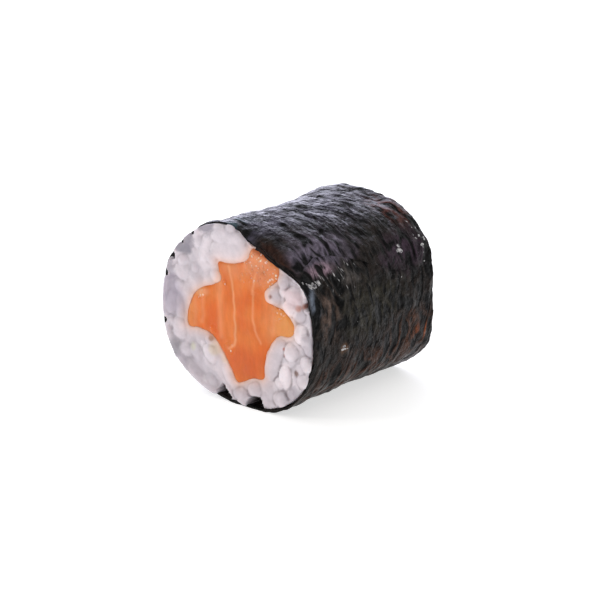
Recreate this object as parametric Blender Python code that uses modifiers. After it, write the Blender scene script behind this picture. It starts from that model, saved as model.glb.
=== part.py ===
# Salmon hosomaki: one piece cut from a thin sushi roll, lying on its side.
# A sheet of toasted nori is wound round sticky rice, and a strip of raw salmon runs through the rice.
# Frame: +Z up, the roll's axis along Y, one cut towards -Y and the other towards +Y, the base on z = 0.
# Lengths below are millimetres. Angles are degrees, clockwise from the top seen from the -Y cut.

import math
import random

import bmesh
import bpy
import numpy as np
from mathutils import Matrix, Vector

MM = 0.001

# The roll as a whole
ROLL_RADIUS = 13.5
ROLL_LENGTH = 26.8
AXIS_HEIGHT = 12.15  # under the radius, so the soft roll stands on a flat strip
AXIS_SHIFT = 0.2  # puts the middle of the uneven outline over the origin
HALF_LENGTH = ROLL_LENGTH / 2

# Where hands and the rolling mat pressed the roll along its whole length: angle, height, spread
PRESSES = (
    (194.0, -1.2, 26.0),  # settled base, to the left of the lowest line
    (128.0, 0.6, 17.0),  # fuller lower right side
    (88.0, -0.3, 12.0),
    (6.0, -0.45, 20.0),  # sagged top
    (245.0, 0.3, 14.0),
    (298.0, 0.25, 12.0),
)
# Local swellings and dents: angle, height, spread, distance from the -Y cut, spread along the roll
DENTS = (
    (336.0, 0.6, 14.0, 25.0, 2.6),
    (12.0, -0.3, 16.0, 27.0, 6.0),
    (335.0, -0.25, 20.0, 13.0, 6.0),
    (103.0, -0.55, 14.0, 27.0, 9.0),
    (158.0, -0.45, 16.0, 14.0, 7.0),
    (40.0, 0.2, 16.0, 27.0, 6.0),
)
# The knife drags the rim of the -Y cut inwards between these angles
DRAG_FROM = -8.0
DRAG_TO = 64.0
DRAG_EASE = 26.0
LIP_DEPTH = 1.0
LIP_REACH = 1.8
SLUMP_DEPTH = 0.9
SLUMP_REACH = 9.0

# Nori
NORI_THICKNESS = 0.3
LAYER_GAP = 0.12
LAYER_STEP = NORI_THICKNESS + LAYER_GAP
INNER_EDGE = 18.0  # where the sheet starts, under its own flap
FLAP_NEAR = 46.0  # free edge of the flap near the -Y cut
FLAP_TURN = 24.0  # and how much further round it ends at the +Y cut
CORNER_TURN = 12.0
CORNER_REACH = 5.0
SETTLE_TURN = 60.0  # past the flap the under layer comes up to the outer surface
RIM_WAVE = 0.18  # the cuts waver by this much, in slow and in quicker waves
NORI_ROUND = 64
NORI_ALONG = 12

# Salmon strip, its outline at the -Y cut
SALMON_OUTLINE = (
    (-3.7, 7.2), (-1.6, 7.4), (0.3, 7.8), (1.6, 8.8), (2.6, 10.3), (4.5, 10.1), (6.7, 9.0),
    (7.0, 6.8), (5.5, 5.2), (5.8, 3.2), (8.3, 2.4), (9.8, 0.4), (9.0, -0.9), (6.9, -1.3),
    (5.3, -3.4), (4.7, -5.6), (4.4, -7.7), (2.4, -8.0), (-0.2, -9.2), (-1.4, -7.6),
    (-3.2, -5.0), (-4.9, -3.3), (-7.2, -2.8), (-9.2, -2.8), (-9.4, -1.0), (-8.3, 1.8),
    (-6.6, 3.2), (-4.3, 4.1), (-3.4, 5.4),
)
SALMON_MIDDLE = (0.0, 1.0)
SALMON_AROUND = 56
SALMON_SECTIONS = 7
CURVE_STEPS = 12  # between two points of the outline
SALMON_TWIST = 16.0  # turn of the strip from cut to cut
SALMON_LOBES = 8.4  # at the +Y cut no lobe reaches further than this from the middle
SALMON_INSET = 0.3
SALMON_CROWN = 0.3  # the cut ends swell a little towards their middle
CROWN_STEPS = (0.3, 0.65, 0.9)

# Rice
TOUCH_GAP = 0.3
GRAIN_LENGTH = 6.6
GRAIN_WIDTH = 2.8
GRAIN_SHOWS = 0.5  # how far a grain stands out of the cut
CORE_INSET = 1.6
CORE_ROUND = 60
CORE_SECTIONS = 5
PASSAGE_STRETCH = 1.05  # the salmon's passage runs out past both ends of the core
MOST_GRAINS = 64  # at each cut
SLIMMEST_GRAIN = 1.3
FUSE_DEPTH = 0.35  # how deep neighbouring grains sink into each other
GRAIN_DISCS = 7
GRAIN_TAPER = 0.18
GRAIN_SIDES = 8
GRAIN_RINGS = 4
ROOM_STEP = 0.2
# The chief grains of the -Y cut: x, z, length shown, width, tilt
CHIEF_GRAINS = (
    (-2.2, 11.2, 6.2, 2.4, 0.0),
    (-1.2, 9.2, 7.2, 3.1, 8.0),
    (-7.4, 8.4, 4.5, 2.3, 80.0),
    (-9.2, 4.3, 4.6, 3.4, -20.0),
    (-5.4, 6.0, 3.2, 2.6, 30.0),
    (-12.0, 1.2, 6.5, 2.5, 90.0),
    (-10.3, -5.0, 4.6, 2.6, -50.0),
    (-7.0, -4.4, 4.4, 2.6, -8.0),
    (-4.4, -7.0, 5.2, 2.6, -52.0),
    (-5.2, -10.2, 4.6, 2.6, -20.0),
    (1.3, -9.9, 3.2, 2.6, 0.0),
    (6.5, -4.6, 7.2, 2.4, 70.0),
    (8.6, -7.4, 4.4, 2.0, 80.0),
    (10.8, -4.3, 4.0, 2.2, 5.0),
    (10.4, -7.8, 4.2, 2.8, 45.0),
    (6.2, -10.6, 4.4, 2.4, 12.0),
    (11.0, 0.8, 3.8, 2.2, 85.0),
    (7.5, 4.4, 3.8, 3.0, 5.0),
    (10.6, 5.2, 3.4, 2.6, 30.0),
)


def ease(value):
    """Smooth step from 0 to 1."""
    value = min(max(value, 0.0), 1.0)
    return value * value * (3 - 2 * value)


def bell(angle, centre, spread):
    away = (angle - centre + 180) % 360 - 180
    return math.exp(-0.5 * (away / spread) ** 2)


def outer_radius(angle, along):
    """Distance of the nori's outer surface from the roll's axis."""
    ahead = along + HALF_LENGTH
    radius = ROLL_RADIUS
    for centre, height, spread in PRESSES:
        radius += height * bell(angle, centre, spread)
    for centre, height, spread, place, reach in DENTS:
        radius += height * bell(angle, centre, spread) * math.exp(-0.5 * ((ahead - place) / reach) ** 2)
    signed = (angle + 180) % 360 - 180
    drag = ease((signed - DRAG_FROM) / DRAG_EASE) * ease((DRAG_TO - signed) / DRAG_EASE)
    lip = LIP_DEPTH * max(1 - ahead / LIP_REACH, 0) ** 2
    slump = SLUMP_DEPTH * max(1 - ahead / SLUMP_REACH, 0) ** 2
    return radius - drag * (lip + slump)


def wall_point(angle, along, depth):
    """A point this deep under the nori's outer surface, level where the roll stands."""
    radius = outer_radius(angle, along) - depth
    turn = math.radians(angle)
    height = max(radius * math.cos(turn), depth - AXIS_HEIGHT)
    return Vector((radius * math.sin(turn), along, height))


def flap_edge(along):
    """Angle of the flap's free edge."""
    ahead = along + HALF_LENGTH
    corner = CORNER_TURN * max(1 - ahead / CORNER_REACH, 0) ** 2
    back = FLAP_TURN * ease((ahead - CORNER_REACH) / (ROLL_LENGTH - 2 * CORNER_REACH))
    return FLAP_NEAR + corner + back


def filling_depth(angle, along):
    """How deep under the outer surface the filling may start, clear of both layers of nori."""
    lap = ease(angle / INNER_EDGE) * (1 - ease((angle - flap_edge(along)) / SETTLE_TURN))
    return NORI_THICKNESS + TOUCH_GAP + LAYER_STEP * lap


def material(name, colour, roughness):
    made = bpy.data.materials.new(name)
    made.use_nodes = True
    shader = made.node_tree.nodes["Principled BSDF"]
    shader.inputs["Base Color"].default_value = (*colour, 1)
    shader.inputs["Roughness"].default_value = roughness
    shader.inputs["Metallic"].default_value = 0.0
    return made


def add_object(name, bm, collection):
    """A mesh object from points in millimetres about the middle of the roll's axis."""
    bm.transform(Matrix.Scale(MM, 4))
    bmesh.ops.recalc_face_normals(bm, faces=bm.faces)
    mesh = bpy.data.meshes.new(name)
    bm.to_mesh(mesh)
    bm.free()
    mesh.shade_smooth()
    obj = bpy.data.objects.new(name, mesh)
    obj.location = (AXIS_SHIFT * MM, 0, AXIS_HEIGHT * MM)
    collection.objects.link(obj)
    return obj


def loft(rings, first_middle=None, last_middle=None):
    """A closed solid through rings of points. An end closes on its middle point, or flat without one."""
    bm = bmesh.new()
    loops = [[bm.verts.new(point) for point in ring] for ring in rings]
    for low, high in zip(loops, loops[1:]):
        for i in range(len(low)):
            j = (i + 1) % len(low)
            bm.faces.new((low[i], low[j], high[j], high[i]))
    for loop, middle in ((loops[0], first_middle), (loops[-1], last_middle)):
        if middle is None:
            bm.faces.new(loop)
            continue
        tip = bm.verts.new(middle)
        for i in range(len(loop)):
            bm.faces.new((loop[i], loop[(i + 1) % len(loop)], tip))
    bmesh.ops.triangulate(bm, faces=[face for face in bm.faces if len(face.verts) > 4])
    return bm


def make_nori(collection):
    """The flat sheet is a grid, wound on itself by moving each of its points."""
    bm = bmesh.new()
    bmesh.ops.create_grid(bm, x_segments=NORI_ROUND, y_segments=NORI_ALONG, size=1)
    for vert in bm.verts:
        # Rows lie closer together towards the two cuts, where the sheet bends most.
        along = HALF_LENGTH * math.sin(vert.co.y * math.pi / 2)
        edge = flap_edge(along)
        wound = INNER_EDGE + (vert.co.x + 1) / 2 * (360 + edge - INNER_EDGE)
        sunk = LAYER_STEP * (1 - ease((wound - edge) / SETTLE_TURN))
        turn = math.radians(wound)
        wave = RIM_WAVE * (math.sin(3 * turn + 0.6) + 0.6 * math.sin(7 * turn))
        vert.co = wall_point(wound, along, sunk)
        vert.co.y += wave * along / HALF_LENGTH * abs(along / HALF_LENGTH)
    obj = add_object("nori", bm, collection)
    if obj.data.polygons[0].normal.dot(obj.data.polygons[0].center) < 0:
        obj.data.flip_normals()
    shell = obj.modifiers.new("thickness", "SOLIDIFY")
    shell.thickness = NORI_THICKNESS * MM
    shell.offset = -1
    return obj


def smooth_loop(points, count):
    """Evenly spaced points on a closed smooth curve through the given ones."""
    corners = np.array(points, float)
    before, after, beyond = (np.roll(corners, shift, axis=0) for shift in (1, -1, -2))
    fine = []
    for i, corner in enumerate(corners):
        slope = after[i] - before[i]
        bend = 2 * before[i] - 5 * corner + 4 * after[i] - beyond[i]
        twist = 3 * corner - before[i] - 3 * after[i] + beyond[i]
        for t in np.linspace(0, 1, CURVE_STEPS, endpoint=False):
            fine.append(corner + (slope * t + bend * t**2 + twist * t**3) / 2)
    fine.append(fine[0])
    fine = np.array(fine)
    travelled = np.concatenate([[0], np.cumsum(np.linalg.norm(np.diff(fine, axis=0), axis=1))])
    stops = np.linspace(0, travelled[-1], count, endpoint=False)
    return np.stack([np.interp(stops, travelled, fine[:, k]) for k in (0, 1)], axis=-1)


def salmon_section(along, grow=0.0, shrink=1.0):
    """The strip's outline at this place as x, z pairs, grown outwards or drawn towards its middle."""
    progress = ease((along + HALF_LENGTH) / ROLL_LENGTH)
    middle = np.array(SALMON_MIDDLE)
    spokes = smooth_loop(SALMON_OUTLINE, SALMON_AROUND) - middle
    reach = np.linalg.norm(spokes, axis=1, keepdims=True)
    drawn_in = np.minimum(reach, SALMON_LOBES)
    spokes = spokes * (1 + progress * (drawn_in / reach - 1))
    turn = math.radians(SALMON_TWIST * progress)
    spokes = spokes @ np.array([[math.cos(turn), -math.sin(turn)], [math.sin(turn), math.cos(turn)]])
    if grow:
        ahead = np.roll(spokes, -1, axis=0) - np.roll(spokes, 1, axis=0)
        outwards = np.stack([-ahead[:, 1], ahead[:, 0]], axis=-1)
        spokes = spokes + grow * outwards / np.linalg.norm(outwards, axis=1, keepdims=True)
        return middle + spokes
    return middle + np.array([within_nori(point, along) for point in middle + spokes] - middle) * shrink


def within_nori(point, along):
    """The point, or where it would touch the nori from inside, whichever is nearer to the roll's axis."""
    angle = math.degrees(math.atan2(point[0], point[1])) % 360
    wall = wall_point(angle, along, filling_depth(angle, along))
    return point * min(1.0, math.hypot(wall.x, wall.z) / np.linalg.norm(point))


def salmon_ring(along, place, grow=0.0, shrink=1.0):
    """The section taken at one place, set down at another along the roll."""
    return [Vector((x, place, z)) for x, z in salmon_section(along, grow, shrink)]


def make_salmon(collection):
    """The strip, lofted from cut to cut, with each end closed in rings that swell to its middle."""
    end = HALF_LENGTH - SALMON_INSET
    near = [
        salmon_ring(-end, -end - SALMON_CROWN * (1 - shrink**2), shrink=shrink)
        for shrink in CROWN_STEPS
    ]
    strip = [salmon_ring(along, along) for along in np.linspace(-end, end, SALMON_SECTIONS)]
    far = [
        salmon_ring(end, end + SALMON_CROWN * (1 - shrink**2), shrink=shrink)
        for shrink in reversed(CROWN_STEPS)
    ]
    x, z = SALMON_MIDDLE
    tips = [Vector((x, side * (end + SALMON_CROWN), z)) for side in (-1, 1)]
    return add_object("salmon", loft(near + strip + far, *tips), collection)


def distance_to(outline, points):
    """Signed distance of each point from a closed outline, negative inside it."""
    starts = outline[None]
    ends = np.roll(outline, -1, axis=0)[None]
    points = points[:, None]
    edges = ends - starts
    across = ((points - starts) * edges).sum(axis=2) / (edges**2).sum(axis=2)
    away = points - starts - np.clip(across, 0, 1)[..., None] * edges
    distance = np.sqrt((away**2).sum(axis=2)).min(axis=1)
    spans = (ends[..., 1] > points[..., 1]) != (starts[..., 1] > points[..., 1])
    rise = np.where(edges[..., 1] == 0, 1, edges[..., 1])
    meets = starts[..., 0] + (points[..., 1] - starts[..., 1]) / rise * edges[..., 0]
    inside = (spans & (points[..., 0] < meets)).sum(axis=1) % 2 == 1
    return np.where(inside, -distance, distance)


class RiceBed:
    """The ring of rice at one cut, between the salmon and the nori, as seen along the roll's axis."""

    def __init__(self, side):
        self.low = -ROLL_RADIUS - 1
        ticks = np.arange(self.low, -self.low, ROOM_STEP)
        points = np.stack([place.ravel() for place in np.meshgrid(ticks, ticks, indexing="ij")], axis=-1)
        turns = np.degrees(np.arctan2(points[:, 0], points[:, 1])) % 360
        room = np.full(len(points), ROLL_RADIUS)
        for depth in (0, GRAIN_LENGTH / 4, GRAIN_LENGTH / 2, GRAIN_LENGTH):
            along = side * (HALF_LENGTH - depth)
            angles = range(0, 361, 4)
            walls = [wall_point(angle, along, filling_depth(angle, along)).xz.length for angle in angles]
            to_nori = np.interp(turns, angles, walls) - np.linalg.norm(points, axis=1)
            to_salmon = distance_to(salmon_section(along), points) - TOUCH_GAP
            room = np.minimum(room, np.minimum(to_nori, to_salmon))
        self.points = points.reshape(len(ticks), len(ticks), 2)
        self.room = room.reshape(len(ticks), len(ticks))
        self.slope = np.stack(np.gradient(self.room), axis=-1)
        self.between = np.full_like(self.room, ROLL_RADIUS)
        self.grains = []

    def at(self, field, points):
        cells = np.clip(np.rint((points - self.low) / ROOM_STEP).astype(int), 0, len(field) - 1)
        return field[cells[:, 0], cells[:, 1]]

    def discs(self, grain):
        """The grain's outline as discs along its length: their centres and radii."""
        x, z, length, width, tilt = grain
        axis = np.array([math.cos(math.radians(tilt)), math.sin(math.radians(tilt))])
        steps = np.linspace(-1, 1, GRAIN_DISCS)
        centres = np.array([x, z]) + np.outer(steps * max(length - width, 0) / 2, axis)
        return centres, width / 2 * (1 - GRAIN_TAPER * steps**2)

    def add(self, grain):
        self.grains.append(grain)
        for centre, radius in zip(*self.discs(grain)):
            apart = np.linalg.norm(self.points - centre, axis=2) - radius
            self.between = np.minimum(self.between, apart + FUSE_DEPTH)

    def fitted(self, grain):
        """A chief grain moved, then made smaller, until it is clear of the salmon and the nori."""
        x, z, length, width, tilt = grain
        for size in np.arange(1, 0.6, -0.05):
            for _ in range(10):
                trial = (x, z, length * size, width * size, tilt)
                centres, radii = self.discs(trial)
                over = radii - self.at(self.room, centres)
                if over.max() < 0:
                    return trial
                away = self.at(self.slope, centres)
                away /= np.maximum(np.linalg.norm(away, axis=1, keepdims=True), 1e-9)
                shift = (np.maximum(over, 0)[:, None] * away).sum(axis=0) / 2
                x += shift[0]
                z += shift[1]
        return None

    def longest(self, x, z, width, free):
        """The longest grain of this width that lies freely with its middle here."""
        for length in np.arange(GRAIN_LENGTH, width, -0.4):
            for tilt in range(0, 180, 15):
                grain = (x, z, length, width, tilt)
                centres, radii = self.discs(grain)
                if (self.at(free, centres) >= radii).all():
                    return grain
        return (x, z, width, width, 0)

    def fill(self, chief, draw):
        """The chief grains first, then one after another wherever the most room is left."""
        for grain in chief:
            placed = self.fitted(grain)
            if placed:
                self.add(placed)
        while len(self.grains) < MOST_GRAINS:
            free = np.minimum(self.room, self.between)
            cell = np.unravel_index(free.argmax(), free.shape)
            if free[cell] < SLIMMEST_GRAIN / 2:
                break
            width = min(2 * free[cell], GRAIN_WIDTH * draw.uniform(0.85, 1.1))
            self.add(self.longest(*self.points[cell], width * 0.98, free))


def add_grain(name, grain, side, collection, draw):
    """A whole grain, turned into the roll until it shows the length that its place in the cut has."""
    x, z, shown, width, tilt = grain
    length = max(GRAIN_LENGTH * width / GRAIN_WIDTH, shown)
    dip = math.acos(shown / length)
    depth = math.hypot(length / 2 * math.sin(dip), width / 2 * math.cos(dip))
    place = side * (HALF_LENGTH + GRAIN_SHOWS * draw.uniform(0.4, 1.0) - depth)
    bm = bmesh.new()
    bmesh.ops.create_uvsphere(bm, u_segments=GRAIN_SIDES, v_segments=GRAIN_RINGS, radius=0.5)
    shape = (
        Matrix.Translation((x, place, z))
        @ Matrix.Rotation(math.radians(-tilt), 4, "Y")
        @ Matrix.Rotation(dip * draw.choice((-1, 1)), 4, "Z")
        @ Matrix.Diagonal((length, width, width, 1))
        @ Matrix.Rotation(math.pi / 2, 4, "X")
    )
    bm.transform(shape)
    return add_object(name, bm, collection)


def keep_largest_body(mesh):
    """Drops loose scraps and the walls of sealed hollows, which fills them."""
    bm = bmesh.new()
    bm.from_mesh(mesh)
    left = set(bm.verts)
    bodies = []
    while left:
        todo = [left.pop()]
        body = set(todo)
        while todo:
            for edge in todo.pop().link_edges:
                for vert in edge.verts:
                    if vert not in body:
                        body.add(vert)
                        todo.append(vert)
        left -= body
        bodies.append(body)
    largest = max(bodies, key=len)
    bmesh.ops.delete(bm, geom=[vert for vert in bm.verts if vert not in largest], context="VERTS")
    bmesh.ops.triangulate(bm, faces=bm.faces)
    bm.to_mesh(mesh)
    bm.free()


def make_rice(collection, cutters):
    """A core of pressed rice with a passage for the salmon, and whole grains fused on at both cuts."""
    core_end = HALF_LENGTH - CORE_INSET
    angles = np.linspace(0, 360, CORE_ROUND, endpoint=False)
    core = [
        [wall_point(angle, along, filling_depth(angle, along)) for angle in angles]
        for along in np.linspace(-core_end, core_end, CORE_SECTIONS)
    ]
    rice = add_object("rice", loft(core), collection)

    tunnel = [
        salmon_ring(along, along * PASSAGE_STRETCH, grow=TOUCH_GAP)
        for along in np.linspace(-HALF_LENGTH, HALF_LENGTH, SALMON_SECTIONS)
    ]
    passage = add_object("salmon_passage", loft(tunnel), cutters)
    passage.hide_render = True
    passage.display_type = "WIRE"
    cut = rice.modifiers.new("salmon passage", "BOOLEAN")
    cut.operation = "DIFFERENCE"
    cut.object = passage

    grains = bpy.data.collections.new("rice grains")
    bpy.context.scene.collection.children.link(grains)
    draw = random.Random(11)
    for side, chief in ((-1, CHIEF_GRAINS), (1, ())):
        bed = RiceBed(side)
        bed.fill(chief, draw)
        for number, grain in enumerate(bed.grains):
            add_grain(f"grain_{side}_{number}", grain, side, grains, draw)
    join = rice.modifiers.new("grains", "BOOLEAN")
    join.operation = "UNION"
    join.operand_type = "COLLECTION"
    join.collection = grains

    graph = bpy.context.evaluated_depsgraph_get()
    fused = bpy.data.meshes.new_from_object(rice.evaluated_get(graph))
    rice.modifiers.clear()
    rice.data = fused
    for grain in list(grains.objects):
        bpy.data.objects.remove(grain)
    bpy.data.collections.remove(grains)
    keep_largest_body(fused)
    return rice


def main():
    for obj in list(bpy.data.objects):
        bpy.data.objects.remove(obj)
    parts = bpy.data.collections.new("salmon hosomaki")
    cutters = bpy.data.collections.new("cutters")
    for collection in (parts, cutters):
        bpy.context.scene.collection.children.link(collection)

    nori = make_nori(parts)
    salmon = make_salmon(parts)
    rice = make_rice(parts, cutters)
    nori.data.materials.append(material("toasted nori", (0.012, 0.012, 0.014), 0.45))
    salmon.data.materials.append(material("raw salmon", (0.75, 0.2, 0.06), 0.3))
    rice.data.materials.clear()
    rice.data.materials.append(material("cooked rice", (0.72, 0.66, 0.66), 0.35))


main()
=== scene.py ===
import functools
import itertools
import math
import random

import bmesh
import bpy
import numpy as np
from mathutils import Matrix, Vector
from mathutils.kdtree import KDTree


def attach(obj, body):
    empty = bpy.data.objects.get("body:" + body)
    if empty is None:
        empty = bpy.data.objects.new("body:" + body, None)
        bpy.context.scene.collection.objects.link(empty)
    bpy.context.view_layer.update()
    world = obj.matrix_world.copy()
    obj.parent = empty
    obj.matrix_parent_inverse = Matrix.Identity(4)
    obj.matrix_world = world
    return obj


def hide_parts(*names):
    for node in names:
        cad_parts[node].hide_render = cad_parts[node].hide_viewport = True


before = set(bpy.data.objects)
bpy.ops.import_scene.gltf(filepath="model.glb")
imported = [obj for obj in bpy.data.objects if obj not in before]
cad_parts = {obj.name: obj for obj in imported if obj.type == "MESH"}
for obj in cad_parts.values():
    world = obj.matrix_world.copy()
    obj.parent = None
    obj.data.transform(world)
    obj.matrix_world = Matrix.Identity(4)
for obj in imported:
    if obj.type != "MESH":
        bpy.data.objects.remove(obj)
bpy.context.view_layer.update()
mm = 0.001
print("frame loaded")

roll = {
    "radius": 13.5,
    "length": 26.8,
    "axisHeight": 12.15,  # the soft roll is pressed flat where it stands
    "axisShift": 0.2,
    # what hands and mat pressed all along: angle, height, spread
    "presses": (
        (194, -1.2, 26), (128, 0.6, 17), (88, -0.3, 12), (6, -0.45, 20), (245, 0.3, 14), (298, 0.25, 12),
    ),
    # local swellings: angle, height, spread, distance from the shown cut, reach along
    "dents": (
        (336, 0.6, 14, 25, 2.6), (12, -0.3, 16, 27, 6), (335, -0.25, 20, 13, 6),
        (103, -0.55, 14, 27, 9), (158, -0.45, 16, 14, 7), (40, 0.2, 16, 27, 6),
    ),
    "dragFrom": -8, "dragTo": 64, "dragEase": 26,  # where the knife pulled the rim inwards
    "lipDepth": 1.0, "lipReach": 1.8,
    "slumpDepth": 0.9, "slumpReach": 9.0,
}
halfLength = roll["length"] / 2


def ease(value):
    value = np.clip(value, 0, 1)
    return value * value * (3 - 2 * value)


def bell(angle, centre, spread):
    away = (angle - centre + 180) % 360 - 180
    return np.exp(-0.5 * (away / spread) ** 2)


def angleOf(x, z):
    # degrees clockwise from the top
    return np.degrees(np.arctan2(x, z)) % 360


def joined(*parts):
    # points from their coordinates, each an array or one number for all
    return np.stack(np.broadcast_arrays(*parts), axis=-1)


def outerRadius(angle, along):
    ahead = along + halfLength
    radius = roll["radius"]
    for centre, height, spread in roll["presses"]:
        radius = radius + height * bell(angle, centre, spread)
    for centre, height, spread, place, reach in roll["dents"]:
        nearby = np.exp(-0.5 * ((ahead - place) / reach) ** 2)
        radius = radius + height * bell(angle, centre, spread) * nearby
    signed = (angle + 180) % 360 - 180
    drag = ease((signed - roll["dragFrom"]) / roll["dragEase"])
    drag = drag * ease((roll["dragTo"] - signed) / roll["dragEase"])
    lip = roll["lipDepth"] * np.maximum(1 - ahead / roll["lipReach"], 0) ** 2
    slump = roll["slumpDepth"] * np.maximum(1 - ahead / roll["slumpReach"], 0) ** 2
    return radius - drag * (lip + slump)


def wallPoint(angle, along, depth, relief=0.0):
    # depth is how far under the nori's outer face, relief is how far this place stands proud
    radius = outerRadius(angle, along) - depth + relief
    turn = np.radians(angle)
    height = np.maximum(radius * np.cos(turn), depth - roll["axisHeight"])
    return joined(radius * np.sin(turn), along, height)


def hills(places, cell, seed):
    # smooth noise from about -1 to 1, with a hill or a hollow in each cell
    size = 32  # cells before it repeats
    slopes = np.random.default_rng(seed).normal(size=(size, size, size, 3))
    slopes /= np.linalg.norm(slopes, axis=-1, keepdims=True)
    grid = places / np.array(cell, float)
    low = np.floor(grid).astype(int)
    part = grid - low
    fade = part**3 * (part * (part * 6 - 15) + 10)
    total = 0
    for corner in itertools.product((0, 1), repeat=3):
        at = (low + corner) % size
        lean = (slopes[at[..., 0], at[..., 1], at[..., 2]] * (part - corner)).sum(-1)
        total = total + lean * np.where(corner, fade, 1 - fade).prod(-1)
    return 1.6 * total  # the highest hills come to about 1


def ridges(places, cell, seed):
    # the same noise folded into narrow crests, from 0 to 1
    return np.clip(1 - 2.2 * np.abs(hills(places, cell, seed)), 0, 1)


def gridFaces(rows, columns, closed=False, first=0):
    # quads between rows of points, with each row closed on itself or not
    across = np.arange(columns if closed else columns - 1)
    beyond = (across + 1) % columns
    start = first + np.arange(rows - 1)[:, None] * columns
    corners = [start + across, start + beyond, start + columns + beyond, start + columns + across]
    return np.stack(corners, axis=-1).reshape(-1, 4).tolist()


def addObject(name, data):
    made = bpy.data.objects.new(name, data)
    bpy.context.scene.collection.objects.link(made)
    return made


def addPiece(name, points, faces, material, values=None, replaced=None, sharp=None):
    mesh = bpy.data.meshes.new(name)
    middle = np.array([roll["axisShift"], 0, roll["axisHeight"]])
    mesh.from_pydata(((points + middle) * mm).tolist(), [], faces)
    for key, rows in (values or {}).items():
        kind, field = ("FLOAT", "value") if rows.ndim == 1 else ("FLOAT_VECTOR", "vector")
        layer = mesh.attributes.new(key, kind, "POINT")
        layer.data.foreach_set(field, rows.astype(np.float32).ravel())
    bm = bmesh.new()
    bm.from_mesh(mesh)
    bmesh.ops.recalc_face_normals(bm, faces=bm.faces)
    bm.to_mesh(mesh)
    bm.free()
    mesh.shade_smooth()
    if sharp:
        mesh.set_sharp_from_angle(angle=math.radians(sharp))
    mesh.materials.append(material)
    piece = addObject(name, mesh)
    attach(piece, "root")
    if replaced:
        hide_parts(replaced)
    print(name, len(mesh.polygons), "faces")


def linear(colour):
    # sRGB hex to linear
    parts = [int(colour[i:i + 2], 16) / 255 for i in (1, 3, 5)]
    return tuple(c / 12.92 if c <= 0.04045 else ((c + 0.055) / 1.055) ** 2.4 for c in parts) + (1.0,)


def blend(base, colour, share):
    # one sRGB hex colour, or linear ones, each brought its own share of the way to another hex colour
    if isinstance(base, str):
        base = np.array(linear(base)[:3])
    return base + share[..., None] * (np.array(linear(colour)[:3]) - base)


def addNode(tree, kind, inputs=(), **settings):
    # inputs by name, or in the node's own order; a node given as an input is linked from its first output
    made = tree.nodes.new("ShaderNode" + kind)
    for key, value in settings.items():
        setattr(made, key, value)
    for key, value in inputs.items() if isinstance(inputs, dict) else enumerate(inputs):
        if isinstance(value, bpy.types.Node):
            value = value.outputs[0]
        if isinstance(value, bpy.types.NodeSocket):
            tree.links.new(value, made.inputs[key])
        else:
            made.inputs[key].default_value = linear(value) if isinstance(value, str) else value
    return made


def newMaterial(name):
    # an empty material and the function that adds a node to it
    made = bpy.data.materials.new(name)
    made.use_nodes = True
    made.node_tree.nodes.clear()
    return made, functools.partial(addNode, made.node_tree)


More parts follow.
